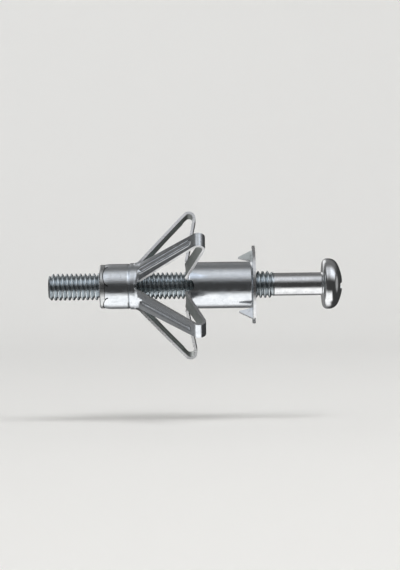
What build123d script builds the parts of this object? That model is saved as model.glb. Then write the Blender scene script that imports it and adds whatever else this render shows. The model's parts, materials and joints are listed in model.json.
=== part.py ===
# A hollow wall anchor, set, with its machine screw.
# The screw's axis is X: the head is at +X and the tip at -X. Z is up.
# The origin is on the axis, in the plane where the flange bears on the wall.
# Millimetres.

from build123d import *
import os
from math import asin, atan2, cos, degrees, pi, radians, sin

os.makedirs("parts", exist_ok=True)

# Screw: metric coarse thread of 6 mm, pan head, cross recess
THREAD_CREST_R = 2.95
SHANK_R = 2.5
SCREW_LENGTH = 60.0
THREAD_LENGTH = 49.5
TIP_CHAMFER = 0.55
HEAD_R = 5.54
HEAD_HEIGHT = 4.45
HEAD_CROWN_R = 9.5
HEAD_SHOULDER_R = 2.2
HEAD_UNDERSIDE_R = 1.1
HEAD_NECK_CHAMFER = 0.3
RECESS_SPAN = 7.8
RECESS_FLOOR_SPAN = 2.6
RECESS_DEPTH = 3.3
RECESS_WING = 1.5
RECESS_CORE_R = 1.75
RECESS_TURN = 13.0
HEAD_STANDOFF = 14.7

# Sleeve: tube of sheet steel with a flange turned out at the wall
SHEET = 0.6
TUBE_R = 5.1
FLANGE_R = 8.55
NECK_INSIDE_R = 0.6
NECK_STEPS = 3
BARREL_LENGTH = 13.7

# Legs: strips of the tube, folded outward behind the wall
LEG_COUNT = 5
FIRST_LEG_TURN = 54.0
FOLDED_SPAN = 12.1
LEG_REACH = 16.7
LEG_FOLD_WIDTH = 3.4
FOLD_R = 1.2
BARREL_ROOT_R = 0.6
COLLAR_ROOT_R = 2.0
BEARING_FOLD_ADVANCE = 1.4
FREE_FOLD_ADVANCE = 3.4
BARREL_SLOT = 2.4
BARREL_SLOT_DEPTH = 0.95
COLLAR_SLOT = 1.65
COLLAR_SLOT_DEPTH = 0.15
ROOT_STEPS = 4
BEAD_PRESS_R = 0.9
BEAD_DEPTH = 0.5
BEAD_START = 0.3
BEAD_END_GAP = 1.9

# Collar: the end of the tube, crimped round the nut
RING_LENGTH = 0.85
CRIMP_R = 4.95
CRIMP_LENGTH = 5.95
CRIMP_EASE = 0.2
GROOVE_DEPTH = 0.22
GROOVE_WIDTH = 0.5
TONGUE_COUNT = 4
TONGUE_ARC = 33.0
TONGUE_LENGTH = 0.9
TONGUE_CORNER_R = 0.6
TONGUE_ROOT_R = 0.25
TONGUE_TURN = 64.0

# Spurs: bent from the flange into the wall, on a radial line
SPUR_COUNT = 2
SPUR_TURN = 150.0
SPUR_ROOT_R = 5.75
SPUR_LENGTH = 3.0
SPUR_TIP_R = 6.65
SPUR_BEND_R = 0.45
SPUR_RIM_GAP = 0.1
SPUR_MOUTH = 0.6

# Nut: round body with a flange outside the end of the sleeve
NUT_BORE_CLEARANCE = 0.05
NUT_BODY_CLEARANCE = 0.04
NUT_FLANGE_R = 4.8
NUT_FLANGE = 1.1
NUT_FLANGE_OVERLAP = 0.3
NUT_END_GAP = 0.1
NUT_EDGE = 0.2
NUT_LEAD_IN = 0.3
TONGUE_NOTCH_GAP = 0.06

# Places along the axis, worked out from the lengths above
tube_mid_r = TUBE_R - SHEET / 2
barrel_root_x = -BARREL_LENGTH
collar_root_x = barrel_root_x - FOLDED_SPAN
crimp_x = collar_root_x - RING_LENGTH
tongue_root_x = crimp_x - CRIMP_LENGTH + TONGUE_LENGTH
tongue_tip_x = tongue_root_x - TONGUE_LENGTH
head_x = SHEET + HEAD_STANDOFF
tip_x = head_x - SCREW_LENGTH
crown_x = head_x + HEAD_HEIGHT
bore_r = TUBE_R - SHEET


def heading_plane(x, r, heading):
    """A plane across a strip at a point of its mid surface; its normal runs along the strip."""
    along = (cos(heading), 0, sin(heading))
    return Plane(origin=(x, 0, r), x_dir=(0, 1, 0), z_dir=along)


def strip_outline(width, crown):
    """The strip's cross-section: flat where crown is 0, else curved like the tube by that much."""
    half = width / 2
    sheet = SHEET / 2
    if crown == 0:
        corners = [(half, sheet), (-half, sheet), (-half, -sheet), (half, -sheet)]
        Polyline(*corners, close=True)
        return
    mid_r = tube_mid_r / crown
    side = half / mid_r
    rows = []
    for r in (mid_r + sheet, mid_r - sheet):
        rows.append([(r * sin(a), r * cos(a) - mid_r) for a in (side, 0, -side)])
    outer, inner = rows
    ThreePointArc(*outer)
    Line(outer[2], inner[2])
    ThreePointArc(*reversed(inner))
    Line(inner[0], outer[0])


def strip_section(place, heading, width, crown=0.0):
    """The strip's cross-section as a sketch on its own plane."""
    with BuildSketch(heading_plane(*place, heading)) as section:
        with BuildLine():
            strip_outline(width, crown)
        make_face()
    return section.sketch


def bend_point(centre, radius, heading, side):
    """Where the strip has this heading in a bend; side is 1 for a centre outside the tube, -1 inside."""
    x, r = centre
    return x + side * radius * sin(heading), r - side * radius * cos(heading)


def tangent_heading(centre, radius, next_centre, next_radius, side):
    """Heading of the straight strip from one bend to the next, whose centre lies on its other side."""
    dx = next_centre[0] - centre[0]
    dr = next_centre[1] - centre[1]
    return atan2(dr, dx) + side * asin((radius + next_radius) / (dx**2 + dr**2) ** 0.5)


def root_bend(centre, radius, headings, width):
    """A bend where a leg leaves the round tube: curved like the tube at one end, flat at the other."""
    sections = []
    for step in range(ROOT_STEPS + 1):
        share = step / ROOT_STEPS
        heading = headings[0] + (headings[1] - headings[0]) * share
        crown = 1 - share if headings[0] == 0 else share
        sections.append(strip_section(bend_point(centre, radius, heading, 1), heading, width, crown))
    return sections


def bead_form(length, over=0.0):
    """The punch that presses a bead: a rod with pointed ends along Z from the origin, or its offset."""
    radius = BEAD_PRESS_R + over
    point = BEAD_PRESS_R + over * 2**0.5
    with BuildPart() as form:
        with BuildSketch(Plane.XZ):
            with BuildLine():
                Polyline(
                    (0, -point), (0, length + point), (radius, length + point - radius),
                    (radius, radius - point), close=True,
                )
            make_face()
        revolve(axis=Axis.Z)
    return form.part


def folded_leg(advance):
    """One leg, upright over the axis. Its fold comes forward of the barrel's end by the advance."""
    half = SHEET / 2
    fold = (barrel_root_x + advance - FOLD_R - half, LEG_REACH - FOLD_R - half)
    collar_bend = (collar_root_x, tube_mid_r + COLLAR_ROOT_R)
    barrel_bend = (barrel_root_x, tube_mid_r + BARREL_ROOT_R)
    outward = tangent_heading(collar_bend, COLLAR_ROOT_R, fold, FOLD_R, 1)
    inward = tangent_heading(fold, FOLD_R, barrel_bend, BARREL_ROOT_R, -1)

    outer_start = bend_point(collar_bend, COLLAR_ROOT_R, outward, 1)
    outer_end = bend_point(fold, FOLD_R, outward, -1)
    inner_start = bend_point(fold, FOLD_R, inward, -1)
    inner_end = bend_point(barrel_bend, BARREL_ROOT_R, inward, 1)
    outer_length = (Vector(*outer_end) - Vector(*outer_start)).length

    # The bead's punch lies over the outer strip, and the sheet follows it round
    over = heading_plane(*outer_start, outward).offset(BEAD_START + BEAD_PRESS_R)
    punch_place = over.location * Pos(0, half + BEAD_PRESS_R - BEAD_DEPTH, 0)
    bead_length = outer_length - BEAD_START - BEAD_END_GAP - 2 * BEAD_PRESS_R
    punch = punch_place * bead_form(bead_length)
    sheet_over_punch = punch_place * bead_form(bead_length, over=SHEET)
    mid_plane = Plane(origin=(outer_start[0], 0, outer_start[1]), z_dir=(-sin(outward), 0, cos(outward)))
    ridge = split(sheet_over_punch, bisect_by=mid_plane, keep=Keep.BOTTOM)

    with BuildPart() as leg:
        loft(root_bend(collar_bend, COLLAR_ROOT_R, (0, outward), collar_root_width), ruled=True)
        wide_end = strip_section(outer_start, outward, collar_root_width)
        narrow_end = strip_section(outer_end, outward, LEG_FOLD_WIDTH)
        loft([wide_end, narrow_end], ruled=True)
        fold_axis = Axis((fold[0], 0, fold[1]), (0, 1, 0))
        revolve(narrow_end.face(), axis=fold_axis, revolution_arc=degrees(outward - inward))
        inner_strip = [
            strip_section(inner_start, inward, LEG_FOLD_WIDTH),
            strip_section(inner_end, inward, barrel_root_width),
        ]
        loft(inner_strip, ruled=True)
        loft(root_bend(barrel_bend, BARREL_ROOT_R, (inward, 0), barrel_root_width), ruled=True)
        add(ridge)
        add(punch, mode=Mode.SUBTRACT)
    return leg.part


# Widths of the legs where they leave the tube, between slots cut in it
leg_pitch = 2 * pi / LEG_COUNT
collar_root_width = tube_mid_r * (leg_pitch - 2 * asin(COLLAR_SLOT / 2 / TUBE_R))
barrel_root_width = tube_mid_r * (leg_pitch - 2 * asin(BARREL_SLOT / 2 / TUBE_R))

# The two legs toward the open front folded further forward than the three that bear on the wall
bearing_leg = folded_leg(BEARING_FOLD_ADVANCE)
free_leg = folded_leg(FREE_FOLD_ADVANCE)
legs = [free_leg, free_leg, bearing_leg, bearing_leg, bearing_leg]

# One spur, upright over the axis, and the notch that it leaves in the flange
spur_rim_r = FLANGE_R - SPUR_RIM_GAP
with BuildPart() as spur:
    with BuildSketch(Plane.XZ):
        with BuildLine():
            Polyline(
                (SHEET, SPUR_ROOT_R), (SHEET, spur_rim_r), (0, spur_rim_r),
                (-SPUR_LENGTH, SPUR_TIP_R), (0, SPUR_ROOT_R), close=True,
            )
        make_face()
    extrude(amount=SHEET)
    bend_edges = spur.edges().filter_by(Axis.Z).group_by(Axis.X)[-1]
    fillet(bend_edges.sort_by(Axis.Y)[0], SPUR_BEND_R)

notch_rim_r = FLANGE_R + SPUR_MOUTH
with BuildPart() as spur_notch:
    with BuildSketch(Plane.YZ):
        with BuildLine():
            Polyline(
                (0, SPUR_ROOT_R), (0, notch_rim_r), (-SHEET - SPUR_MOUTH, notch_rim_r),
                (-SHEET - SPUR_LENGTH, SPUR_TIP_R), (-SHEET, SPUR_ROOT_R), close=True,
            )
        make_face()
    extrude(amount=SHEET)

# The gap between two tongues at the end of the collar, upright over the axis
tongue_pitch = 360 / TONGUE_COUNT
gap_width = 2 * CRIMP_R * sin(radians(tongue_pitch - TONGUE_ARC) / 2)
with BuildPart() as tongue_gap:
    with BuildSketch(Plane.XY.offset(CRIMP_R / 2)) as gap_plan:
        with Locations((tongue_root_x, 0)):
            Rectangle(2 * TONGUE_LENGTH, gap_width, align=(Align.MAX, Align.CENTER))
        fillet(gap_plan.vertices().group_by(Axis.X)[-1], TONGUE_ROOT_R)
    extrude(amount=CRIMP_R)

with BuildPart() as expansion_sleeve:
    # Barrel, neck and flange. The neck bends the barrel's sheet outward in short steps.
    neck_bend = (-NECK_INSIDE_R, TUBE_R + NECK_INSIDE_R)
    neck_headings = [step / NECK_STEPS * pi / 2 for step in range(NECK_STEPS + 1)]
    neck_outside = [bend_point(neck_bend, NECK_INSIDE_R, heading, 1) for heading in neck_headings]
    neck_inside = [bend_point(neck_bend, NECK_INSIDE_R + SHEET, heading, 1) for heading in neck_headings]
    with BuildSketch(Plane.XZ):
        with BuildLine():
            Polyline(
                (barrel_root_x, bore_r), (barrel_root_x, TUBE_R), *neck_outside,
                (0, FLANGE_R), (SHEET, FLANGE_R), *reversed(neck_inside), close=True,
            )
        make_face()
    revolve(axis=Axis.X)

    # Collar: pressed down round the nut, with a groove behind the nut and then a plain ring
    groove_x = crimp_x - GROOVE_WIDTH
    collar_outside = [
        (tongue_tip_x, CRIMP_R), (groove_x, CRIMP_R), (crimp_x - GROOVE_WIDTH / 2, CRIMP_R - GROOVE_DEPTH),
        (crimp_x, CRIMP_R), (crimp_x + CRIMP_EASE, TUBE_R), (collar_root_x, TUBE_R),
    ]
    collar_inside = [(x, r - SHEET) for x, r in collar_outside]
    with BuildSketch(Plane.XZ):
        with BuildLine():
            Polyline(*collar_outside, *reversed(collar_inside), close=True)
        make_face()
    revolve(axis=Axis.X)

    # Rounded ends of the slots, cut in the tube between the legs
    for leg_index in range(LEG_COUNT):
        slot_turn = FIRST_LEG_TURN + (leg_index + 0.5) * 360 / LEG_COUNT
        for slot_root_x, slot_width, slot_depth, into_tube in (
            (barrel_root_x, BARREL_SLOT, BARREL_SLOT_DEPTH, 1),
            (collar_root_x, COLLAR_SLOT, COLLAR_SLOT_DEPTH, -1),
        ):
            end_r = ((slot_width / 2) ** 2 + slot_depth**2) / (2 * slot_depth)
            end_x = slot_root_x + into_tube * (slot_depth - end_r)
            cutter = Cylinder(end_r, TUBE_R, align=(Align.CENTER, Align.CENTER, Align.MIN), mode=Mode.PRIVATE)
            add(Pos(end_x, 0, bore_r / 2) * cutter, rotation=(slot_turn, 0, 0), mode=Mode.SUBTRACT)

    # Tongues that key the collar into the nut's flange
    for tongue_index in range(TONGUE_COUNT):
        gap_turn = TONGUE_TURN + (tongue_index + 0.5) * tongue_pitch
        add(tongue_gap.part, rotation=(gap_turn, 0, 0), mode=Mode.SUBTRACT)
    tip_edges = expansion_sleeve.edges().filter_by(GeomType.LINE).group_by(Axis.X)[0]
    fillet(tip_edges, TONGUE_CORNER_R)

    # Spurs
    for spur_index in range(SPUR_COUNT):
        turn = SPUR_TURN + spur_index * 360 / SPUR_COUNT
        add(spur_notch.part, rotation=(turn, 0, 0), mode=Mode.SUBTRACT)
        add(spur.part, rotation=(turn, 0, 0))

    # Legs
    for leg_index, leg in enumerate(legs):
        add(leg, rotation=(FIRST_LEG_TURN + leg_index * 360 / LEG_COUNT, 0, 0))

expansion_sleeve.part.label = "expansion_sleeve"
export_step(expansion_sleeve.part, "parts/expansion_sleeve.step")

# Nut: its body fills the collar up to the groove, and its flange bears on the tongues' side
nut_body_r = CRIMP_R - SHEET - NUT_BODY_CLEARANCE
nut_end_x = groove_x - NUT_END_GAP
nut_shoulder_x = tongue_tip_x + NUT_FLANGE_OVERLAP
nut_face_x = nut_shoulder_x - NUT_FLANGE
nut_bore_r = THREAD_CREST_R + NUT_BORE_CLEARANCE
with BuildPart() as captive_nut:
    with BuildSketch(Plane.XZ):
        with BuildLine():
            Polyline(
                (nut_face_x, nut_bore_r + NUT_LEAD_IN),
                (nut_face_x, NUT_FLANGE_R - NUT_EDGE),
                (nut_face_x + NUT_EDGE, NUT_FLANGE_R),
                (nut_shoulder_x, NUT_FLANGE_R),
                (nut_shoulder_x, nut_body_r),
                (nut_end_x - NUT_EDGE, nut_body_r),
                (nut_end_x, nut_body_r - NUT_EDGE),
                (nut_end_x, nut_bore_r + NUT_LEAD_IN),
                (nut_end_x - NUT_LEAD_IN, nut_bore_r),
                (nut_face_x + NUT_LEAD_IN, nut_bore_r),
                close=True,
            )
        make_face()
    revolve(axis=Axis.X)

    # Notches that take the collar's tongues
    notch_width = 2 * (CRIMP_R * sin(radians(TONGUE_ARC) / 2) + TONGUE_NOTCH_GAP)
    notch_depth = NUT_FLANGE_OVERLAP + TONGUE_NOTCH_GAP
    notch_floor = (nut_body_r**2 - (notch_width / 2) ** 2) ** 0.5
    for tongue_index in range(TONGUE_COUNT):
        turn = TONGUE_TURN + tongue_index * tongue_pitch
        with Locations(Rotation(turn, 0, 0) * Pos(nut_shoulder_x, 0, notch_floor)):
            Box(notch_depth, notch_width, nut_body_r,
                align=(Align.MAX, Align.CENTER, Align.MIN), mode=Mode.SUBTRACT)

captive_nut.part.label = "captive_nut"
export_step(captive_nut.part, "parts/captive_nut.step")

# Screw: the thread stands at its crest diameter, and the shank is the rolling blank's
with BuildPart() as machine_screw:
    thread_end_x = tip_x + THREAD_LENGTH
    with BuildSketch(Plane.XZ):
        with BuildLine():
            Polyline(
                (tip_x, 0),
                (tip_x, THREAD_CREST_R - TIP_CHAMFER),
                (tip_x + TIP_CHAMFER, THREAD_CREST_R),
                (thread_end_x - (THREAD_CREST_R - SHANK_R), THREAD_CREST_R),
                (thread_end_x, SHANK_R),
                (head_x, SHANK_R),
                (head_x, 0),
                close=True,
            )
        make_face()
    revolve(axis=Axis.X)

    crown_centre_x = crown_x - HEAD_CROWN_R
    crown_edge_x = crown_centre_x + (HEAD_CROWN_R**2 - HEAD_R**2) ** 0.5
    crown_reach = asin(HEAD_R / HEAD_CROWN_R)
    with BuildSketch(Plane.XZ) as head_profile:
        with BuildLine():
            Polyline((crown_x, 0), (head_x, 0), (head_x, HEAD_R), (crown_edge_x, HEAD_R))
            CenterArc((crown_centre_x, 0), HEAD_CROWN_R, 0, degrees(crown_reach))
        make_face()
        rim = head_profile.vertices().group_by(Axis.Y)[-1].sort_by(Axis.X)
        fillet(rim[0], HEAD_UNDERSIDE_R)
        rim = head_profile.vertices().sort_by(Axis.X).sort_by(Axis.Y)
        fillet(rim[-1], HEAD_SHOULDER_R)
    revolve(axis=Axis.X)
    neck_edge = machine_screw.edges().filter_by(GeomType.CIRCLE).filter_by(
        lambda edge: abs(edge.radius - SHANK_R) < 1e-6 and abs(edge.center().X - head_x) < 1e-6
    )
    chamfer(neck_edge, HEAD_NECK_CHAMFER)

    # Cross recess: four wings that taper inward round a conical core. Its span is in the crown's plane.
    for wing_turn in (RECESS_TURN, RECESS_TURN + 90):
        with BuildSketch(Plane.XZ.rotated((wing_turn, 0, 0))):
            with BuildLine():
                Polyline(
                    (crown_x, RECESS_SPAN / 2), (crown_x, -RECESS_SPAN / 2),
                    (crown_x - RECESS_DEPTH, -RECESS_FLOOR_SPAN / 2),
                    (crown_x - RECESS_DEPTH, RECESS_FLOOR_SPAN / 2), close=True,
                )
            make_face()
        extrude(amount=RECESS_WING / 2, both=True, mode=Mode.SUBTRACT)
    with Locations(Pos(crown_x, 0, 0) * Rotation(0, -90, 0)):
        Cone(RECESS_CORE_R, 0, RECESS_DEPTH * 1.1, align=(Align.CENTER, Align.CENTER, Align.MIN),
             mode=Mode.SUBTRACT)

machine_screw.part.label = "machine_screw"
export_step(machine_screw.part, "parts/machine_screw.step")
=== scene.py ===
# A hollow wall anchor, set, with its machine screw, in its studio.
# The screw's axis is X, with the head at +X. Z is up, and the camera looks along +Y.
# Lengths are in millimetres until a mesh is finished, and in metres from then on.

import json
from math import asin, atan2, cos, degrees, floor, hypot, pi, radians, sin, sqrt

import bmesh
import bpy
from mathutils import Matrix, Vector


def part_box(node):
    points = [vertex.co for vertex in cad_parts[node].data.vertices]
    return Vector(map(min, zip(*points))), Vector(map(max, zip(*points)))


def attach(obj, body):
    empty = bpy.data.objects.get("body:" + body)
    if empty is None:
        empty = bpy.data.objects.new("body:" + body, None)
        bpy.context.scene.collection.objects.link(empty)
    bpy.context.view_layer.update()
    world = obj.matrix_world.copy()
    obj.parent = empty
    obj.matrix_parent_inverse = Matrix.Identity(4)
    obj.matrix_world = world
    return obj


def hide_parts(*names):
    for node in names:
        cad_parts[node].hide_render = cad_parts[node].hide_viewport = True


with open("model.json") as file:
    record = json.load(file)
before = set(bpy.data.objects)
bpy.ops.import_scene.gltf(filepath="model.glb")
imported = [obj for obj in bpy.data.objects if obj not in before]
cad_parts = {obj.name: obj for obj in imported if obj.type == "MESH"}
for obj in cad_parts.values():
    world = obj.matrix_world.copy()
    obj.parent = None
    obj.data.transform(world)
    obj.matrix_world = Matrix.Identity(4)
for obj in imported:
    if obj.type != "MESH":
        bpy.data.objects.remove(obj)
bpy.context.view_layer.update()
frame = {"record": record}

MM = 0.001


def corners_in_mm(node):
    """A solid's lowest and highest corners in millimetres, to the hundredth that it is drawn to."""
    return [[round(value / MM, 2) for value in corner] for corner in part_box(node)]


# What the frame gives: the solids' corners, and the mounts' radii and lengths
sleeve_low, sleeve_high = corners_in_mm("expansion_sleeve")
nut_low, nut_high = corners_in_mm("captive_nut")
screw_low, screw_high = corners_in_mm("machine_screw")
mounts = {mount["name"]: mount for mount in frame["record"]["mounts"]}
barrel = mounts["wall_hole"]["dims"]
threaded = mounts["fixture_hole"]["dims"]

# Screw, with the thread's form as shares of the pitch and of the depth, from a crest's middle to a root's
TIP_X = screw_low[0]
PITCH = 1.0
CREST_R = threaded["r_mm"]
ROOT_R = 2.36
THREAD_FORM = ((0.06, 0.0), (0.12, 0.04), (0.18, 0.14), (0.4, 0.9), (0.44, 0.97))
# Radius at which the painted shade in the thread's roots fades out
ROOT_SHADE_END_R = 2.85
THREAD_LENGTH = 49.5
THREAD_END_X = TIP_X + THREAD_LENGTH
TIP_CHAMFER = 0.6
RUN_OUT = 1.0
SHANK_R = 2.5
HEAD_X = round(mounts["head_seat"]["pos_m"][0] / MM, 2)
HEAD_R = screw_high[2]
HEAD_HEIGHT = 4.45
CROWN_X = HEAD_X + HEAD_HEIGHT
CROWN_R = 9.5
SHOULDER_R = 2.2
UNDERSIDE_R = 1.1
NECK_FILLET = 0.3
NECK_LENGTH = 3.0

# Recess: wings that narrow toward its floor, round a conical core
RECESS_SPAN = 7.8
RECESS_FLOOR_SPAN = 2.6
RECESS_DEPTH = 3.3
RECESS_TURN = 13.0
RECESS_CLEARANCE = 1.0
RECESS_TOP_X = CROWN_X + RECESS_CLEARANCE
RECESS_FLOOR_X = CROWN_X - RECESS_DEPTH
WING_WIDTH = 1.545
WING_FLOOR_WIDTH = 1.275
CORE_R = 2.1
CORE_FLOOR_R = 0.7875
CORE_POINT = 0.5

# Nut
NUT_FACE_X = nut_low[0]
NUT_END_X = nut_high[0]
NUT_FLANGE = 1.1
NUT_SHOULDER_X = NUT_FACE_X + NUT_FLANGE
NUT_FLANGE_R = nut_high[2]
NUT_BODY_R = 4.3
NUT_SEAT_R = 4.0
NUT_CREST_R = 2.52
NUT_ROOT_R = 3.05
NUT_LEAD_IN = 0.3
NUT_LEAD_SLOPE = 1.6
NUT_EDGE = 0.2
NUT_RIM = 0.15

# Sleeve: a tube of sheet steel with a flange turned out at the wall
SHEET = sleeve_high[0]
SHEARED_EDGE = 0.07
TUBE_R = barrel["r_mm"]
TUBE_MID_R = TUBE_R - SHEET / 2
FLANGE_R = 8.55
NECK_R = 0.9

# Legs, folded outward behind the wall
BARREL_ROOT_X = -barrel["length_mm"]
FOLDED_SPAN = 12.1
COLLAR_ROOT_X = BARREL_ROOT_X - FOLDED_SPAN
LEG_COUNT = 5
FIRST_LEG_TURN = 54.0
FREE_LEGS = (0, 1)
LEG_REACH = sleeve_high[1]
FOLD_HALF_WIDTH = 1.7
FOLD_R = 1.2
BARREL_BEND_R = 0.6
COLLAR_BEND_R = 2.0
BEARING_ADVANCE = 1.4
FREE_ADVANCE = 3.4
STRIP_CROWN = 0.3
STRIP_FLAT_SHARE = 0.8
BEAD_HALF_WIDTH = 0.85
BEAD_DEPTH = 0.5
BEAD_START = 0.3
BEAD_END_GAP = 1.75

# Slots between the legs, and how far from their rounded ends the sheet's grid is straight again
BARREL_SLOT = 2.4
BARREL_SLOT_DEPTH = 0.95
BARREL_SLOT_FADE = 1.2
COLLAR_SLOT = 1.65
COLLAR_SLOT_DEPTH = 0.8
COLLAR_SLOT_TANGENT = 0.9
COLLAR_SLOT_FADE = 0.6

# Collar, crimped round the nut, with tongues that reach into the nut's flange
TONGUE_OVERLAP = 0.2
TONGUE_TIP_X = NUT_SHOULDER_X - TONGUE_OVERLAP
TONGUE_LENGTH = 1.0
TONGUE_ROOT_X = TONGUE_TIP_X + TONGUE_LENGTH
TONGUE_COUNT = 4
TONGUE_ARC = 54.0
TONGUE_TURN = 60.0
TONGUE_GAP = 0.24
COLLAR_END_GAP = 0.15
COLLAR_END_X = NUT_SHOULDER_X + COLLAR_END_GAP
CRIMP_MID_R = 4.65
CRIMP_EASE = 0.2
CRIMP_POWER = 1.5
PRESS_LENGTH = 1.5
PRESS_START_X = TONGUE_TIP_X + PRESS_LENGTH
PRESS_DEPTH = 0.18
GROOVE_HALF = 0.3
GROOVE_GAP = 0.05
GROOVE_X = NUT_END_X + GROOVE_GAP + GROOVE_HALF
GROOVE_DEPTH = 0.22

# Spurs, bent from the flange into the wall. The sector, in radians, is how far about one the flange is cut.
SPUR_TURNS = (150, 330)
SPUR_SECTOR = 1.0
SPUR_ROOT_R = 5.75
SPUR_RIM_R = 8.45
SPUR_TIP_R = 6.65
SPUR_LENGTH = 3.0
SPUR_TIP_HALF = 0.1
SPUR_BEND_R = 0.4
SPUR_MOUTH = 0.6

# Rows of the sleeve's grid in each of its stretches, from the tongues to the flange's rim
TONGUE_ROWS = 5
CRIMP_ROWS = 12
GROOVE_ROWS = 10
RING_ROWS = 5
SLOT_SIDE_ROWS = 2
SLOT_END_ROWS = 4
COLLAR_BEND_ROWS = 4
BEAD_START_ROWS = 2
BEAD_ROWS = 12
BEAD_END_ROWS = 5
STRIP_END_ROWS = 4
FOLD_ROWS = 14
INNER_STRIP_ROWS = 12
BARREL_BEND_ROWS = 8
SLOT_FADE_ROWS = 5
BARREL_ROWS = 12
NECK_ROWS = 8
FLANGE_ROWS = 8
SPUR_BEND_ROWS = 4
SPUR_ROWS = 5
TONGUE_STEPS = 10

# Columns of the grid: those over a bead keep their distance from the leg's mid line
LEG_COLUMNS = (0.28, 0.5, 0.68, 0.85, 1.02)
EDGE_COLUMNS = 4
SLOT_COLUMNS = 8
LEG_SPAN = 2 * (len(LEG_COLUMNS) + EDGE_COLUMNS)
SECTOR_SPAN = LEG_SPAN + SLOT_COLUMNS

# Tolerances: how near two corners are one point, a corner is on a cut and a face is in a plane, and how
# many degrees from flat may be smoothed out
SAME_POINT = 0.001
ON_CUT = 0.002
ON_PLANE = 0.01
NEARLY_FLAT = 0.4


def link_mesh(name, shape):
    """The bmesh, in millimetres, becomes a linked object in metres at the origin."""
    bmesh.ops.scale(shape, vec=(MM, MM, MM), verts=shape.verts)
    mesh = bpy.data.meshes.new(name)
    shape.to_mesh(mesh)
    shape.free()
    piece = bpy.data.objects.new(name, mesh)
    bpy.context.scene.collection.objects.link(piece)
    return piece


def around(x, r, turn):
    """A point at this radius, turned from straight up about the screw's axis, in radians."""
    return Vector((x, -r * sin(turn), r * cos(turn)))


# Folding the sheet: each leg is a strip that follows a path of straight runs and bends

SECTOR = 2 * pi / LEG_COUNT
HALF_PITCH = TUBE_MID_R * SECTOR / 2
COLLAR_SLOT_HALF = TUBE_MID_R * asin(COLLAR_SLOT / 2 / TUBE_R)
BARREL_SLOT_HALF = TUBE_MID_R * asin(BARREL_SLOT / 2 / TUBE_R)
SLOT_END_SHARE = sqrt(0.5)


def spread(start, *stretches):
    """Values after start. A stretch is where it ends and how many it holds, evenly spaced."""
    values = []
    for end, count in stretches:
        values += [start + (end - start) * (i + 1) / count for i in range(count)]
        start = end
    return values


def bend_point(centre, radius, heading, side):
    """Where the strip has this heading in a bend; side is 1 for a centre outside the tube, -1 inside."""
    x, r = centre
    return x + side * radius * sin(heading), r - side * radius * cos(heading)


def tangent_heading(centre, radius, next_centre, next_radius, side):
    """Heading of the straight strip from one bend to the next, whose centre lies on its other side."""
    dx = next_centre[0] - centre[0]
    dr = next_centre[1] - centre[1]
    return atan2(dr, dx) + side * asin((radius + next_radius) / hypot(dx, dr))


def slot_half(past_tangent, half, depth):
    """Half-width of a slot this far into its rounded end. It is filled past the diagonal."""
    share = min(max(past_tangent / depth, 0), SLOT_END_SHARE)
    return half * sqrt(1 - share**2)


def lerp(a, b, share):
    """A value or a vector this share of the way from a to b."""
    return a + (b - a) * share


def clamp(share):
    return min(max(share, 0), 1)


def smooth(share):
    """A share of 0 to 1 that starts and ends gently."""
    return share * share * (3 - 2 * share)


def crimped_radius(x):
    """Mid radius of the collar: pressed in at its end and round the nut, with a groove, then a plain ring."""
    groove = max(1 - ((x - GROOVE_X) / GROOVE_HALF) ** 2, 0) ** CRIMP_POWER * GROOVE_DEPTH
    press = max((PRESS_START_X - x) / PRESS_LENGTH, 0) ** CRIMP_POWER * PRESS_DEPTH
    ease = clamp((x - GROOVE_X - GROOVE_HALF / 2) / CRIMP_EASE)
    return lerp(CRIMP_MID_R, TUBE_MID_R, smooth(ease)) - groove - press


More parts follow.
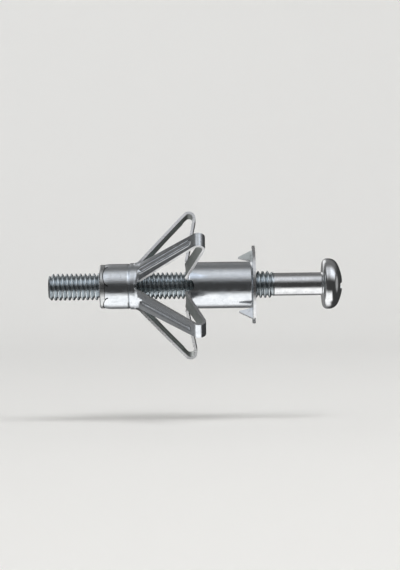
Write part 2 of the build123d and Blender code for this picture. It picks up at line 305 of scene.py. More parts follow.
def sleeve_rows(advance):
    """Mid line from the tongues to the flange's rim. A row is x, r, heading, crown and a leg's half-width,
    with the place on the bead's strip, and the shift of a slot's rounded end where the row has one."""
    half = SHEET / 2
    fold = (BARREL_ROOT_X + advance - FOLD_R - half, LEG_REACH - FOLD_R - half)
    collar_bend = (COLLAR_ROOT_X, TUBE_MID_R + COLLAR_BEND_R)
    barrel_bend = (BARREL_ROOT_X, TUBE_MID_R + BARREL_BEND_R)
    outward = tangent_heading(collar_bend, COLLAR_BEND_R, fold, FOLD_R, 1)
    inward = tangent_heading(fold, FOLD_R, barrel_bend, BARREL_BEND_R, -1)
    rows = []

    def add(place, heading=0.0, crown=1.0, width=None, bead=None, slot="filled", shift=0.0):
        rows.append({
            "x": place[0], "r": place[1], "heading": heading, "crown": crown, "half": width,
            "bead": bead, "slot": slot, "shift": shift,
        })

    # Collar
    filled = HALF_PITCH - slot_half(COLLAR_SLOT_DEPTH, COLLAR_SLOT_HALF, COLLAR_SLOT_DEPTH)
    xs = spread(
        TONGUE_TIP_X, (TONGUE_ROOT_X, TONGUE_ROWS), (GROOVE_X - GROOVE_HALF, CRIMP_ROWS),
        (GROOVE_X + GROOVE_HALF, GROOVE_ROWS), (COLLAR_ROOT_X, RING_ROWS),
    )
    for x in [TONGUE_TIP_X] + xs:
        fade = max(1 - (COLLAR_ROOT_X - x) / COLLAR_SLOT_FADE, 0)
        add((x, crimped_radius(x)), width=filled, shift=-fade * COLLAR_SLOT_DEPTH)

    # Bend outward from the collar, where the bead starts
    start = bend_point(collar_bend, COLLAR_BEND_R, outward, 1)
    end = bend_point(fold, FOLD_R, outward, -1)
    length = hypot(end[0] - start[0], end[1] - start[1])
    bead_end = length - BEAD_END_GAP
    edge_run = COLLAR_SLOT_TANGENT - SLOT_END_SHARE * COLLAR_SLOT_DEPTH
    bend_run = COLLAR_BEND_R * outward
    runs = spread(
        0, (edge_run, SLOT_SIDE_ROWS), (COLLAR_SLOT_TANGENT, SLOT_END_ROWS), (bend_run, COLLAR_BEND_ROWS),
    )
    for run in runs:
        heading = run / COLLAR_BEND_R
        width = HALF_PITCH - slot_half(COLLAR_SLOT_TANGENT - run, COLLAR_SLOT_HALF, COLLAR_SLOT_DEPTH)
        add(
            bend_point(collar_bend, COLLAR_BEND_R, heading, 1), heading,
            lerp(1, STRIP_CROWN, heading / outward), width, (run - bend_run, bead_end),
            slot="filled" if run <= edge_run else "open", shift=-COLLAR_SLOT_DEPTH,
        )

    # Outer strip, with its bead
    wide = HALF_PITCH - COLLAR_SLOT_HALF
    runs = spread(
        0, (BEAD_START, BEAD_START_ROWS), (bead_end, BEAD_ROWS), (bead_end + BEAD_HALF_WIDTH, BEAD_END_ROWS),
        (length, STRIP_END_ROWS),
    )
    for run in runs:
        share = run / length
        add(
            (lerp(start[0], end[0], share), lerp(start[1], end[1], share)), outward,
            STRIP_CROWN * max(1 - share / STRIP_FLAT_SHARE, 0), lerp(wide, FOLD_HALF_WIDTH, share),
            bead=(run, bead_end), slot="open",
        )

    # Fold
    for heading in spread(outward, (inward, FOLD_ROWS)):
        add(bend_point(fold, FOLD_R, heading, -1), heading, 0, FOLD_HALF_WIDTH, slot="open")

    # Inner strip
    start = bend_point(fold, FOLD_R, inward, -1)
    end = bend_point(barrel_bend, BARREL_BEND_R, inward, 1)
    narrow = HALF_PITCH - BARREL_SLOT_HALF
    for share in spread(0, (1, INNER_STRIP_ROWS)):
        add(
            (lerp(start[0], end[0], share), lerp(start[1], end[1], share)), inward,
            STRIP_CROWN * share, lerp(FOLD_HALF_WIDTH, narrow, share), slot="open",
        )

    # Bend into the barrel
    for heading in spread(inward, (0, BARREL_BEND_ROWS)):
        crown = lerp(1, STRIP_CROWN, heading / inward)
        add(bend_point(barrel_bend, BARREL_BEND_R, heading, 1), heading, crown, narrow, slot="open")

    # Barrel, with the rounded ends of its slots
    diagonal_x = BARREL_ROOT_X + SLOT_END_SHARE * BARREL_SLOT_DEPTH
    neck = (-NECK_R + SHEET / 2, TUBE_MID_R + NECK_R)
    xs = spread(
        BARREL_ROOT_X, (diagonal_x, SLOT_END_ROWS), (diagonal_x + BARREL_SLOT_FADE, SLOT_FADE_ROWS),
        (neck[0], BARREL_ROWS),
    )
    for x in xs:
        width = HALF_PITCH - slot_half(x - BARREL_ROOT_X, BARREL_SLOT_HALF, BARREL_SLOT_DEPTH)
        fade = max(1 - (x - diagonal_x) / BARREL_SLOT_FADE, 0)
        add(
            (x, TUBE_MID_R), width=width, slot="filled" if x > diagonal_x - SAME_POINT else "open",
            shift=fade * BARREL_SLOT_DEPTH,
        )

    # Neck and flange
    for heading in spread(0, (pi / 2, NECK_ROWS)):
        add(bend_point(neck, NECK_R, heading, 1), heading, width=width)
    for r in spread(neck[1], (FLANGE_R, FLANGE_ROWS)):
        add((SHEET / 2, r), pi / 2, width=width)
    return rows


def leg_offset(column, half):
    """Distance of a leg's column from its mid line. Those near the bead keep theirs."""
    step = column - LEG_SPAN // 2
    side = (step > 0) - (step < 0)
    inner = len(LEG_COLUMNS)
    if abs(step) <= inner:
        return side * ((0,) + LEG_COLUMNS)[abs(step)]
    return side * lerp(LEG_COLUMNS[-1], half, (abs(step) - inner) / EDGE_COLUMNS)


def bead_depth(bead, offset):
    if bead is None:
        return 0
    run, bead_end = bead
    beyond = max(BEAD_START - run, run - bead_end, 0)
    near = hypot(beyond, offset) / BEAD_HALF_WIDTH
    return BEAD_DEPTH * max(1 - near**2, 0)


def strip_point(row, offset, leg_turn):
    """A point of a leg's mid surface, and its x, radius and turn round the axis."""
    if row["crown"] == 1:
        turn = leg_turn + offset / TUBE_MID_R
        return row["x"], row["r"], turn
    sideways, sink = offset, 0
    if row["crown"]:
        curve_r = TUBE_MID_R / row["crown"]
        sideways = curve_r * sin(offset / curve_r)
        sink = curve_r * (1 - cos(offset / curve_r))
    sink += bead_depth(row["bead"], offset)
    x = row["x"] + sink * sin(row["heading"])
    up = row["r"] - sink * cos(row["heading"])
    return x, hypot(up, sideways), leg_turn + atan2(sideways, up)


def fold_sheet():
    """The sleeve's mid surface: a grid of sheet, wrapped round the axis, slotted and folded."""
    kinds = {True: sleeve_rows(FREE_ADVANCE), False: sleeve_rows(BEARING_ADVANCE)}
    row_count = len(kinds[True])
    column_count = LEG_COUNT * SECTOR_SPAN
    shape = bmesh.new()
    bmesh.ops.create_grid(shape, x_segments=column_count, y_segments=row_count - 1, size=1)

    def indices(vert):
        column = round((vert.co.x + 1) / 2 * column_count)
        row = round((vert.co.y + 1) / 2 * (row_count - 1))
        return column, row

    def leg_rows(leg):
        return kinds[leg % LEG_COUNT in FREE_LEGS]

    def leg_turn(leg):
        return radians(FIRST_LEG_TURN) + leg * SECTOR

    place = {vert: indices(vert) for vert in shape.verts}
    rows = kinds[True]
    open_faces = []
    for face in shape.faces:
        columns = [place[vert][0] for vert in face.verts]
        lines = [place[vert][1] for vert in face.verts]
        in_slot = min(columns) % SECTOR_SPAN >= LEG_SPAN
        if in_slot and "open" in (rows[min(lines)]["slot"], rows[max(lines)]["slot"]):
            open_faces.append(face)
    bmesh.ops.delete(shape, geom=open_faces, context="FACES")

    for vert in shape.verts:
        column, line = place[vert]
        leg, within = divmod(column, SECTOR_SPAN)
        row = leg_rows(leg)[line]
        if within <= LEG_SPAN:
            x, r, turn = strip_point(row, leg_offset(within, row["half"]), leg_turn(leg))
        else:
            next_row = leg_rows(leg + 1)[line]
            near = strip_point(row, row["half"], leg_turn(leg))
            far = strip_point(next_row, -next_row["half"], leg_turn(leg + 1))
            across = radians(lerp(-45, 45, (within - LEG_SPAN) / SLOT_COLUMNS))
            share = 0.5 + sin(across) / (2 * SLOT_END_SHARE)
            x, r, turn = (lerp(a, b, share) for a, b in zip(near, far))
            x += (cos(across) - SLOT_END_SHARE) * row["shift"]
        vert.co = around(x, r, turn)
    bmesh.ops.remove_doubles(shape, verts=shape.verts, dist=ON_PLANE)
    bmesh.ops.recalc_face_normals(shape, faces=shape.faces)
    return shape


def turn_of(point):
    return atan2(-point.y, point.z)


def turned_away(point, turn):
    """Signed angle from this turn to the point's, in radians."""
    return (turn_of(point) - turn + pi) % (2 * pi) - pi


def cut(shape, faces, origin, normal):
    """Cuts the faces along a plane and returns what they became."""
    faces = [face for face in faces if face.is_valid]
    edges = {edge for face in faces for edge in face.edges}
    verts = {vert for face in faces for vert in face.verts}
    result = bmesh.ops.bisect_plane(
        shape, geom=faces + list(edges) + list(verts), dist=SAME_POINT, plane_co=origin, plane_no=normal,
    )
    return [item for item in result["geom"] if isinstance(item, bmesh.types.BMFace) and item.is_valid]


def cut_outline(shape, faces, lines, along, across):
    """Cuts the faces along an outline's lines, whose ends are distances along and across."""
    for (u0, v0), (u1, v1) in lines:
        faces = cut(shape, faces, along * u0 + across * v0, along * (v1 - v0) - across * (u1 - u0))
    return faces


def inside(lines, u, v):
    """Whether the point is on the same side of every line of a bulging outline."""
    sides = {(u - u0) * (v1 - v0) > (v - v0) * (u1 - u0) for (u0, v0), (u1, v1) in lines}
    return len(sides) == 1


def tongue_outline(gap):
    """Half an ellipse this far outside a tongue's edge, root to root, as x and the distance across."""
    length = TONGUE_LENGTH + gap
    half = CRIMP_MID_R * sin(radians(TONGUE_ARC / 2)) + gap
    angles = [0] + spread(0, (pi, TONGUE_STEPS))
    return [(TONGUE_ROOT_X - length * sin(a), half * cos(a)) for a in angles]


def tongue_turns():
    return [radians(TONGUE_TURN) + index * 2 * pi / TONGUE_COUNT for index in range(TONGUE_COUNT)]


def cut_tongues(shape):
    """Cuts the tongues at the collar's end. A slit runs round each, and they reach past the edge."""
    edge, slit = (
        list(zip(outline, outline[1:])) for outline in (tongue_outline(0), tongue_outline(TONGUE_GAP))
    )
    along = Vector((1, 0, 0))
    for turn in tongue_turns():
        across = around(0, 1, turn + pi / 2)
        faces = [
            face for face in shape.faces
            if face.calc_center_median().x < TONGUE_ROOT_X
            and abs(turned_away(face.calc_center_median(), turn)) < pi / TONGUE_COUNT
        ]
        faces = cut_outline(shape, faces, edge + slit, along, across)
        faces = cut(shape, faces, along * COLLAR_END_X, along)

        def waste(face):
            at = face.calc_center_median()
            sideways = at.dot(across)
            return not inside(edge, at.x, sideways) and (at.x < COLLAR_END_X or inside(slit, at.x, sideways))

        bmesh.ops.delete(shape, geom=[face for face in faces if waste(face)], context="FACES")
    region = [face for face in shape.faces if face.calc_center_median().x < TONGUE_ROOT_X]
    edges = {edge for face in region for edge in face.edges if not edge.is_boundary}
    bmesh.ops.dissolve_limit(shape, angle_limit=radians(NEARLY_FLAT), verts=[], edges=list(edges))


def bend_spurs(shape):
    """Cuts a notch in the flange for each spur, and bends the spur out along one side of it."""
    bend_at = SPUR_BEND_R - SHEET / 2
    for spur_turn in SPUR_TURNS:
        turn = radians(spur_turn)
        up = around(0, 1, turn)
        sideways = around(0, 1, turn - pi / 2)
        corners = [
            (bend_at, SPUR_ROOT_R), (-SHEET, SPUR_ROOT_R), (-SHEET - SPUR_LENGTH, SPUR_TIP_R),
            (-SHEET - SPUR_MOUTH, FLANGE_R + SPUR_MOUTH), (bend_at, FLANGE_R + SPUR_MOUTH),
        ]
        faces = [
            face for face in shape.faces
            if face.calc_center_median().x > SHEET / 2 - ON_PLANE
            and abs(turned_away(face.calc_center_median(), turn)) < SPUR_SECTOR
        ]
        lines = list(zip(corners, corners[1:] + corners[:1]))
        faces = cut_outline(shape, faces, lines, sideways, up)

        def in_notch(face):
            at = face.calc_center_median()
            return inside(lines, at.dot(sideways), at.dot(up))

        bmesh.ops.delete(shape, geom=[face for face in faces if in_notch(face)], context="FACES")

        def on_bend_line(vert):
            beside = abs(vert.co.dot(sideways) - bend_at)
            return beside < ON_CUT and vert.co.dot(up) > SPUR_ROOT_R - ON_CUT

        edges = [edge for edge in shape.edges if edge.is_boundary and all(map(on_bend_line, edge.verts))]
        rim = max(vert.co.dot(up) for edge in edges for vert in edge.verts)
        path = [
            (SHEET / 2 - SPUR_BEND_R * (1 - cos(angle)), bend_at - SPUR_BEND_R * sin(angle))
            for angle in spread(0, (pi / 2, SPUR_BEND_ROWS))
        ]
        path += [(x, path[-1][1]) for x in spread(path[-1][0], (-SPUR_LENGTH, SPUR_ROWS))]
        low, high = SPUR_ROOT_R, rim
        for x, y in path:
            taper = clamp(-x / SPUR_LENGTH)
            next_low = lerp(SPUR_ROOT_R, SPUR_TIP_R - SPUR_TIP_HALF, taper)
            next_high = lerp(SPUR_RIM_R, SPUR_TIP_R + SPUR_TIP_HALF, taper)
            grown = bmesh.ops.extrude_edge_only(shape, edges=edges)["geom"]
            for vert in grown:
                if isinstance(vert, bmesh.types.BMVert):
                    share = (vert.co.dot(up) - low) / (high - low)
                    vert.co = Vector((x, 0, 0)) + sideways * y + up * lerp(next_low, next_high, share)
            edges = [edge for edge in grown if isinstance(edge, bmesh.types.BMEdge)]
            low, high = next_low, next_high
    bmesh.ops.recalc_face_normals(shape, faces=shape.faces)


# Finishes: zinc-plated steel, worked out on Object coordinates in millimetres


class Value:
    """A socket in arithmetic: each operation on it adds a Math node."""

    def __init__(self, paint, socket):
        self.paint = paint
        self.socket = socket

    def math(self, operation, *numbers):
        return self.paint.node("ShaderNodeMath", {"operation": operation}, numbers)

    def __add__(self, other):
        return self.math("ADD", self, other)

    def __sub__(self, other):
        return self.math("SUBTRACT", self, other)

    def __rsub__(self, other):
        return self.math("SUBTRACT", other, self)

    def __mul__(self, other):
        return self.math("MULTIPLY", self, other)

    __radd__ = __add__
    __rmul__ = __mul__


class Paint:
    """The node tree of one finish, with the patterns that the finishes share."""

    def __init__(self, owner):
        owner.use_nodes = True
        self.tree = owner.node_tree

    def fill(self, node, values):
        """Links or sets inputs of a node, by name or number, or in order from the first."""
        pairs = values.items() if isinstance(values, dict) else enumerate(values)
        for key, value in pairs:
            if isinstance(value, Value):
                self.tree.links.new(value.socket, node.inputs[key])
            else:
                node.inputs[key].default_value = value

    def node(self, kind, settings, values, output=0):
        """A node with its settings and the values or links of its inputs; returns one output."""
        node = self.tree.nodes.new(kind)
        for name, setting in settings.items():
            setattr(node, name, setting)
        self.fill(node, values)
        return Value(self, node.outputs[output])

    def feed(self, node_name, values):
        """Links or sets inputs of a node that the tree already has."""
        self.fill(self.tree.nodes[node_name], values)

    def place(self, scale=(1, 1, 1)):
        """The piece's own coordinates in millimetres, stretched for a streaky pattern."""
        metres = self.node("ShaderNodeTexCoord", {}, {}, "Object")
        per_mm = tuple(value / MM for value in scale)
        return self.node("ShaderNodeVectorMath", {"operation": "MULTIPLY"}, (metres, per_mm))

    def noise(self, place, per_mm, detail=4.0, roughness=0.6):
        """Noise about 0.5, with so many features to the millimetre."""
        inputs = {"Vector": place, "Scale": per_mm, "Detail": detail, "Roughness": roughness}
        return self.node("ShaderNodeTexNoise", {}, inputs)

    def step(self, value, low, high):
        """0 below low and 1 above high, smooth between; high may be the lower one."""
        inputs = {"Value": value, "From Min": low, "From Max": high}
        return self.node("ShaderNodeMapRange", {"interpolation_type": "SMOOTHSTEP"}, inputs)

    def mix(self, share, first, second):
        """Blends two colours."""
        return self.node("ShaderNodeMix", {"data_type": "RGBA"}, {0: share, 6: first, 7: second}, 2)

    def bump(self, height):
        """A normal from a height in millimetres."""
        return self.node("ShaderNodeBump", {}, {"Height": height, "Distance": MM, "Strength": 1})


# Patterns of the plating: features to the millimetre, and how far the streaks and lines are stretched
CLOUDS_PER_MM = 0.55
CLOUD_HEIGHT = 4
FLECKS_PER_MM = 3.5
SPOTS_PER_MM = 1.3
SPOT_EDGE = (0.63, 0.72)
SPOT_STRENGTH = 0.35
SPOT_TONE = 0.72
STREAKS_PER_MM = 2.2
STREAK_STRETCH = (0.16, 1.5, 1.5)
LATHE_STRETCH = (6, 0.12, 0.12)


def steel(name, bright, dull, roughness, drawn=0.0, turned=0.0, grain=0.006, mottle=0.15, root_shade=None):
    """Zinc-plated steel under cloudy plating. Drawn is the depth of streaks along the axis, turned that of
    fine lines round it, and grain that of the plating itself, in millimetres. Mottle is how far the clouds
    blur. Root shade is the share of its colour kept at the thread's root: painted shade that darkens the
    grooves."""
    material = bpy.data.materials.new(name)
    paint = Paint(material)
    place = paint.place()
    streaks = paint.noise(paint.place(STREAK_STRETCH), STREAKS_PER_MM)
    clouds = paint.noise(place, CLOUDS_PER_MM)
    flecks = paint.noise(place, FLECKS_PER_MM, detail=3.0)
    spots = paint.step(paint.noise(place, SPOTS_PER_MM, detail=2.0, roughness=0.5), *SPOT_EDGE)
    cloudiness = paint.step(clouds * 0.6 + streaks * 0.4, 0.5 - mottle, 0.5 + mottle)
    colour = paint.mix(cloudiness * 0.75 + flecks * 0.25, (*dull, 1), (*bright, 1))
    colour = paint.mix(spots * SPOT_STRENGTH, colour, (*(SPOT_TONE * part for part in dull), 1))
    if root_shade:
        # Painted shade in the thread's roots: the colour darkens from the radius where the shade ends down to
        # the root
        flat = paint.node("ShaderNodeVectorMath", {"operation": "MULTIPLY"}, (place, (0, 1, 1)))
        r = paint.node("ShaderNodeVectorMath", {"operation": "LENGTH"}, (flat,), "Value")
        shade = root_shade + (1 - root_shade) * paint.step(r, ROOT_R, ROOT_SHADE_END_R)
        colour = paint.node("ShaderNodeVectorMath", {"operation": "SCALE"}, {0: colour, "Scale": shade})
    height = streaks * drawn + clouds * (grain * CLOUD_HEIGHT) + flecks * grain
    if turned:
        height = height + paint.noise(paint.place(LATHE_STRETCH), 1.0, detail=3.0) * turned
    paint.feed("Principled BSDF", {
        "Base Color": colour,
        "Metallic": 1.0,
        "Roughness": roughness + 0.12 * (0.5 - cloudiness) + 0.1 * (flecks - 0.5),
        "Normal": paint.bump(height),
    })
    return material


plated_outside = steel(
    "plated outside", bright=(0.90, 0.93, 0.965), dull=(0.765, 0.805, 0.85), roughness=0.2,
    drawn=0.012, turned=0.005,
)
plated_inside = steel(
    "plated inside", bright=(0.70, 0.73, 0.715), dull=(0.54, 0.57, 0.555), roughness=0.42,
    drawn=0.012, mottle=0.24,
)
sheared = steel("sheared edge", bright=(0.92, 0.925, 0.93), dull=(0.74, 0.75, 0.77), roughness=0.3)
nut_plating = steel(
    "nut plating", bright=(0.80, 0.815, 0.82), dull=(0.62, 0.635, 0.645), roughness=0.27, turned=0.01,
)
# Near-black painted shade for the nut's faces in its bore, inside the sleeve and in the tongues' notches
painted_shade_plating = steel("hidden plating", bright=(0.10, 0.10, 0.10), dull=(0.06, 0.06, 0.06), roughness=0.5)
screw_plating = steel(
    "screw plating", bright=(0.93, 0.94, 0.955), dull=(0.80, 0.815, 0.835), roughness=0.16, grain=0.004,
)
shank_plating = steel(
    "shank plating", bright=(0.93, 0.94, 0.955), dull=(0.80, 0.815, 0.835), roughness=0.2, turned=0.03,
)
# The thread gets painted shade in its roots, keeping two thirds of its colour there
thread_plating = steel(
    "thread plating", bright=(0.81, 0.87, 0.91), dull=(0.63, 0.69, 0.725), roughness=0.24, turned=0.01,
    root_shade=0.66,
)


def finish(piece, *materials):
    """Shades a piece smooth and gives it its materials."""
    for material in materials:
        piece.data.materials.append(material)
    piece.data.shade_smooth()


sleeve_shape = fold_sheet()
cut_tongues(sleeve_shape)
bend_spurs(sleeve_shape)
sleeve = link_mesh("folded_sleeve", sleeve_shape)
thickness = sleeve.modifiers.new("sheet thickness", "SOLIDIFY")
thickness.thickness = SHEET * MM
thickness.offset = 0
thickness.use_even_offset = True
thickness.use_quality_normals = True
thickness.material_offset = 1
thickness.material_offset_rim = 2
edges = sleeve.modifiers.new("sheared edges", "BEVEL")
edges.width = SHEARED_EDGE * MM
edges.segments = 2
edges.limit_method = "ANGLE"
edges.angle_limit = radians(50)
edges.harden_normals = True
finish(sleeve, plated_outside, plated_inside, sheared)


# Screw and nut: threads are spun as helices, and the screw's head is turned


def profile_chain(shape, points):
    """Edges through points given as x and z, where z is the radius of what is turned about X."""
    verts = [shape.verts.new((x, 0, z)) for x, z in points]
    return verts + [shape.edges.new(pair) for pair in zip(verts, verts[1:])]


def turned(points, steps=96, axis=(1, 0, 0)):
    """A profile, turned all the way round the axis."""
    shape = bmesh.new()
    bmesh.ops.spin(
        shape, geom=profile_chain(shape, points), cent=(0, 0, 0), axis=axis, angle=2 * pi,
        steps=steps, use_merge=True,
    )
    bmesh.ops.remove_doubles(shape, verts=shape.verts, dist=SAME_POINT)
    bmesh.ops.recalc_face_normals(shape, faces=shape.faces)
    return shape


def helix(crest_r, root_r, start_x, end_x, steps=48):
    """A thread's surface between two planes: its profile, spun one turn while it moves on by one pitch.
    The screw's tip sets the phase, so that every thread meets the screw's."""
    pitch = [(x, lerp(crest_r, root_r, drop)) for x, drop in THREAD_FORM]
    pitch += [(1 - x, r) for x, r in reversed(pitch)]
    first = floor((start_x - TIP_X) / PITCH) - 2
    last = floor((end_x - TIP_X) / PITCH) + 2
    points = [(TIP_X + (index + x) * PITCH, r) for index in range(first, last) for x, r in pitch]
    shape = bmesh.new()
    bmesh.ops.spin(
        shape, geom=profile_chain(shape, points), cent=(0, 0, 0), axis=(1, 0, 0), angle=2 * pi,
        steps=steps, dvec=(PITCH / steps, 0, 0),
    )
    bmesh.ops.remove_doubles(shape, verts=shape.verts, dist=SAME_POINT)
    for plane_x, side in ((start_x, -1), (end_x, 1)):
        everything = shape.faces[:] + shape.edges[:] + shape.verts[:]
        bmesh.ops.bisect_plane(
            shape, geom=everything, dist=SAME_POINT / 2, plane_co=(plane_x, 0, 0), plane_no=(side, 0, 0),
            clear_outer=True,
        )
    return shape


def radius_of(point):
    return hypot(point.y, point.z)


def set_radius(vert, r):
    growth = r / radius_of(vert.co)
    vert.co.y *= growth
    vert.co.z *= growth


def rim_at(shape, x):
    """The open edges in the plane across the axis at x."""
    return [
        edge for edge in shape.edges
        if edge.is_boundary and all(abs(vert.co.x - x) < SAME_POINT for vert in edge.verts)
    ]


def arc(centre, radius, start, end, count):
    """Points of a circle in a profile, between two angles from +X in degrees."""
    angles = [radians(start)] + spread(radians(start), (radians(end), count))
    return [(centre[0] + radius * cos(a), centre[1] + radius * sin(a)) for a in angles]


def merge_in(shape, other):
    """Adds the other bmesh to the first and frees it."""
    mesh = bpy.data.meshes.new("joined")
    other.to_mesh(mesh)
    other.free()
    shape.from_mesh(mesh)
    bpy.data.meshes.remove(mesh)


def screw_head():
    """The turned head and the plain end of the shank."""
    shoulder_r = HEAD_R - SHOULDER_R
    crown_centre = CROWN_X - CROWN_R
    shoulder_x = crown_centre + sqrt((CROWN_R - SHOULDER_R) ** 2 - shoulder_r**2)
    crown_start = degrees(atan2(shoulder_r, shoulder_x - crown_centre))
    points = [(THREAD_END_X, SHANK_R), (HEAD_X - NECK_FILLET - NECK_LENGTH, SHANK_R)]
    points += arc((HEAD_X - NECK_FILLET, SHANK_R + NECK_FILLET), NECK_FILLET, -90, 0, 4)
    points += arc((HEAD_X + UNDERSIDE_R, HEAD_R - UNDERSIDE_R), UNDERSIDE_R, 180, 90, 8)
    points += arc((shoulder_x, shoulder_r), SHOULDER_R, 90, crown_start, 10)
    points += arc((crown_centre, 0), CROWN_R, crown_start, 0, 12)[1:]
    return turned(points)


def turn_about_x(shape, turn):
    turning = Matrix.Rotation(turn, 3, "X")
    bmesh.ops.rotate(shape, cent=(0, 0, 0), matrix=turning, verts=shape.verts)


def recess_wing(turn):
    """A cutter for one pair of wings: a slab that narrows toward the recess's floor."""
    shape = bmesh.new()
    bmesh.ops.create_cube(shape, size=1)
    slope = (RECESS_SPAN - RECESS_FLOOR_SPAN) / RECESS_DEPTH
    for vert in shape.verts:
        if vert.co.x > 0:
            x, width, span = RECESS_TOP_X, WING_WIDTH, RECESS_SPAN + slope * RECESS_CLEARANCE
        else:
            x, width, span = RECESS_FLOOR_X, WING_FLOOR_WIDTH, RECESS_FLOOR_SPAN
        vert.co = Vector((x, vert.co.y * width, vert.co.z * span))
    turn_about_x(shape, radians(turn))
    return shape


def recess_core():
    """A cutter for the recess's middle: a cone with a shallower point."""
    point_x = RECESS_FLOOR_X - CORE_POINT
    return turned([(RECESS_TOP_X, 0), (RECESS_TOP_X, CORE_R), (RECESS_FLOOR_X, CORE_FLOOR_R), (point_x, 0)])


def carved(shape, cutters):
    """The bmesh with each cutter cut out of it. The cutting itself is done on objects, in metres."""
    piece = link_mesh("uncut", shape)
    for cutter in cutters:
        tool = link_mesh("cutter", cutter)
        cutting = piece.modifiers.new("recess", "BOOLEAN")
        cutting.object = tool
        cutting.solver = "EXACT"
        mesh = bpy.data.meshes.new_from_object(piece.evaluated_get(bpy.context.evaluated_depsgraph_get()))
        piece.modifiers.clear()
        piece.data = mesh
        bpy.data.objects.remove(tool)
    result = bmesh.new()
    result.from_mesh(piece.data)
    bpy.data.objects.remove(piece)
    bmesh.ops.scale(result, vec=(1 / MM, 1 / MM, 1 / MM), verts=result.verts)
    return result


def screw_body():
    """The head with its recess, and the thread's helix joined to the shank's end."""
    shape = carved(screw_head(), [recess_wing(90 + RECESS_TURN), recess_wing(RECESS_TURN), recess_core()])
    thread = helix(CREST_R, ROOT_R, TIP_X, THREAD_END_X)
    for vert in thread.verts:
        chamfer_r = CREST_R - TIP_CHAMFER + (vert.co.x - TIP_X)
        fade = clamp((vert.co.x - THREAD_END_X + RUN_OUT) / RUN_OUT)
        set_radius(vert, lerp(min(radius_of(vert.co), chamfer_r), SHANK_R, fade))
    merge_in(shape, thread)
    bmesh.ops.bridge_loops(shape, edges=rim_at(shape, THREAD_END_X))
    bmesh.ops.contextual_create(shape, geom=rim_at(shape, TIP_X))
    bmesh.ops.remove_doubles(shape, verts=shape.verts, dist=SAME_POINT)
    bmesh.ops.recalc_face_normals(shape, faces=shape.faces)
    return shape


screw = link_mesh("screw", screw_body())
finish(screw, screw_plating, shank_plating, thread_plating)
for polygon in screw.data.polygons:
    x = polygon.center.x / MM
    if x < THREAD_END_X + SAME_POINT:
        polygon.material_index = 2
    elif x < HEAD_X - SAME_POINT:
        polygon.material_index = 1
screw.data.set_sharp_from_angle(angle=radians(50))


def tongue_room(turn):
    """A cutter for the notch in the nut's flange that takes a tongue: its outline, drawn outward."""
    shape = bmesh.new()
    verts = [shape.verts.new((x, -across, NUT_SEAT_R)) for x, across in tongue_outline(TONGUE_GAP)]
    grown = bmesh.ops.extrude_face_region(shape, geom=[shape.faces.new(verts)])["geom"]
    rise = NUT_FLANGE_R + 1 - NUT_SEAT_R
    bmesh.ops.translate(
        shape, vec=(0, 0, rise), verts=[item for item in grown if isinstance(item, bmesh.types.BMVert)],
    )
    bmesh.ops.recalc_face_normals(shape, faces=shape.faces)
    turn_about_x(shape, turn)
    return shape


def nut_body():
    """The nut's outside, turned, round a helix that runs the other way in; notched for the tongues."""
    lead_r = NUT_CREST_R + NUT_LEAD_IN * NUT_LEAD_SLOPE
    shape = turned([
        (NUT_FACE_X, lead_r), (NUT_FACE_X, NUT_FLANGE_R - NUT_EDGE), (NUT_FACE_X + NUT_EDGE, NUT_FLANGE_R),
        (NUT_SHOULDER_X, NUT_FLANGE_R), (NUT_SHOULDER_X, NUT_SEAT_R), (PRESS_START_X, NUT_SEAT_R),
        (PRESS_START_X, NUT_BODY_R), (NUT_END_X - NUT_EDGE, NUT_BODY_R), (NUT_END_X, NUT_BODY_R - NUT_EDGE),
        (NUT_END_X, lead_r),
    ])
    thread = helix(NUT_ROOT_R, NUT_CREST_R, NUT_FACE_X, NUT_END_X)
    for vert in thread.verts:
        depth = min(vert.co.x - NUT_FACE_X, NUT_END_X - vert.co.x)
        set_radius(vert, max(radius_of(vert.co), lead_r - depth * NUT_LEAD_SLOPE))
    merge_in(shape, thread)
    bmesh.ops.remove_doubles(shape, verts=shape.verts, dist=SAME_POINT)
    for x in (NUT_FACE_X, NUT_END_X):
        bmesh.ops.bridge_loops(shape, edges=rim_at(shape, x))
    bmesh.ops.recalc_face_normals(shape, faces=shape.faces)
    return carved(shape, [tongue_room(turn) for turn in tongue_turns()])


nut = link_mesh("nut", nut_body())
finish(nut, nut_plating, painted_shade_plating)
# Every nut face except the front face and the flange's rim gets the near-black painted shade
for polygon in nut.data.polygons:
    at = polygon.center / MM
    if at.x > NUT_FACE_X + ON_PLANE and radius_of(at) < NUT_FLANGE_R - NUT_RIM:
        polygon.material_index = 1
nut.data.set_sharp_from_angle(angle=radians(35))

for piece, body, slot_name, node in (
    (sleeve, "anchor", "sleeve_steel", "expansion_sleeve"),
    (nut, "anchor", "nut_steel", "captive_nut"),
    (screw, "screw", "screw_steel", "machine_screw"),
):
    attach(piece, body)
    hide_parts(node)

# Camera, square to the screw
VIEW_DISTANCE = 0.4
VIEW_CENTRE_X = -11.49
VIEW_CENTRE_Z = 0.07
VIEW_ROLL = 0.8
PIXELS_PER_MM = 4.55
PICTURE_HEIGHT = 570 / PIXELS_PER_MM * MM
SENSOR = 36
camera_data = bpy.data.cameras.new("camera")
camera_data.sensor_width = SENSOR
camera_data.lens = SENSOR * VIEW_DISTANCE / PICTURE_HEIGHT
camera = bpy.data.objects.new("camera", camera_data)
camera.location = (VIEW_CENTRE_X * MM, -VIEW_DISTANCE, VIEW_CENTRE_Z * MM)
camera.rotation_euler = (pi / 2, radians(VIEW_ROLL), 0)
bpy.context.scene.collection.objects.link(camera)
bpy.context.scene.camera = camera

# Studio: a pale bowl round the object, a key lamp, and the room that the metal mirrors
FLOOR_Z = -30
BOWL_R = 900
BOWL_CURVE = 400
BOWL_TOP = 1200
PAPER = (0.88, 0.875, 0.86, 1)
BACKDROP = (0.76, 0.76, 0.755, 1)


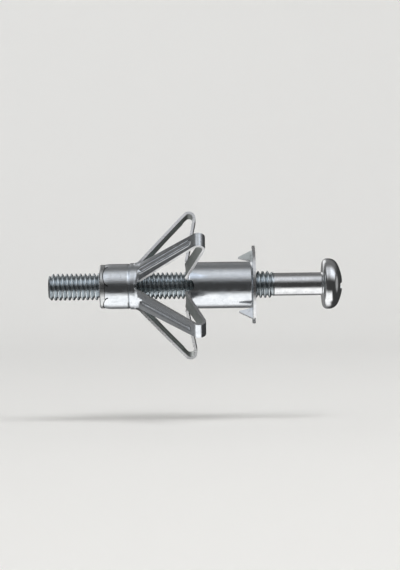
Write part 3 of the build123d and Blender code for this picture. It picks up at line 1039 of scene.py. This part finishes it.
def pale_bowl():
    """A floor that curves up into a backdrop all round, so that it has no horizon from any side."""
    flat_r = BOWL_R - BOWL_CURVE
    points = [(0, FLOOR_Z)] + [(r, FLOOR_Z) for r in spread(0, (flat_r, 6))]
    points += arc((flat_r, FLOOR_Z + BOWL_CURVE), BOWL_CURVE, -90, 0, 12)[1:]
    points.append((BOWL_R, BOWL_TOP))
    bowl = link_mesh("bowl", turned(points, steps=64, axis=(0, 0, 1)))
    paper = bpy.data.materials.new("pale paper")
    Paint(paper).feed("Principled BSDF", {"Base Color": PAPER, "Roughness": 0.9, "Specular IOR Level": 0.1})
    finish(bowl, paper)
    bowl.visible_glossy = False
    bowl.visible_shadow = False


# The room's lights. A fade is what it goes by, where the light is none and where it is full. It goes by the
# x, y or z of the way that the metal looks, from -1 to 1, or by its height: the angle round X in degrees,
# 0 toward the camera and 90 straight up.
WALLS = 0.045
CARDS = {
    "ceiling": (0.12, ("z", 0.3, 0.8)),
    "left wall": (0.12, ("x", -0.5, -0.8), ("z", 0.2, -0.3)),
    "rear wall": (0.2, ("y", 0.3, 0.9), ("x", 0.2, -0.2)),
    "rear window": (0.75, ("y", 0.4, 0.7), ("z", 0.1, 0.4), ("x", -0.1, -0.3)),
    "right end": (0.3, ("x", 0.9, 0.98)),
}
SOFT_BOX = (("height", 8, 54), ("height", 98, 60))
SOFT_BOX_ENDS = (("x", -0.6, -0.48), ("x", 0.92, 0.78))
SOFT_BOX_LEVEL = 0.54
SOFT_BOX_RIGHT = (0.5, ("x", 0.1, 0.3))
SOFT_BOX_LEFT = (0.2, ("x", -0.16, -0.32))
END_CARD = (0.8, ("x", -0.84, -0.92))
SOFT_BOX_TINT = (0.95, 0.985, 1.05, 1)
WALL_TINT = (1.0, 0.995, 0.985, 1)
TABLE = (1.05, ("height", -28, -54), ("height", -136, -108), ("x", -0.8, -0.6), ("x", 0.52, 0.32))
TABLE_SHADE = (("x", 0.05, 0.3), ("height", -82, -100))


def room():
    """The world: pale to the camera, and to the metal a dark room with a soft box and a white table."""
    world = bpy.data.worlds.new("studio")
    paint = Paint(world)
    way = paint.node("ShaderNodeTexCoord", {}, {}, "Generated")
    at = {axis.lower(): paint.node("ShaderNodeSeparateXYZ", {}, (way,), axis) for axis in "XYZ"}
    height = paint.node("ShaderNodeMath", {"operation": "ARCTAN2"}, (at["z"], 0 - at["y"]))
    at["height"] = height * (180 / pi)

    def patch(fades):
        """1 where every fade is full, and 0 where one is none."""
        light, *others = [paint.step(at[key], none, full) for key, none, full in fades]
        for other in others:
            light = light * other
        return light

    def card(level, *fades):
        return level * patch(fades)

    across = (SOFT_BOX_LEVEL + card(*SOFT_BOX_RIGHT) + card(*SOFT_BOX_LEFT)) * patch(SOFT_BOX_ENDS)
    soft_box = patch(SOFT_BOX) * (across + card(*END_CARD))
    level = WALLS + soft_box + card(*TABLE) * (1 - patch(TABLE_SHADE))
    for lit in CARDS.values():
        level = level + card(*lit)
    tint = paint.mix(soft_box, WALL_TINT, SOFT_BOX_TINT)
    mirrored = paint.node("ShaderNodeVectorMath", {"operation": "SCALE"}, {0: tint, "Scale": level})
    seen = paint.node("ShaderNodeLightPath", {}, {}, "Is Camera Ray")
    paint.feed("Background", {"Color": paint.mix(seen, mirrored, BACKDROP)})
    bpy.context.scene.world = world


def lamp(name, place, size, power):
    """A soft square lamp that faces the object and lights the bowl; the metal doesn't mirror it."""
    data = bpy.data.lights.new(name, "AREA")
    data.size = size
    data.energy = power
    light = bpy.data.objects.new(name, data)
    light.location = place
    light.rotation_euler = Vector(place).to_track_quat("Z", "Y").to_euler()
    light.visible_glossy = False
    light.visible_camera = False
    bpy.context.scene.collection.objects.link(light)


pale_bowl()
room()
lamp("key", place=(0.25, -0.5, 0.9), size=0.5, power=5)
bpy.context.scene.view_settings.view_transform = "Standard"
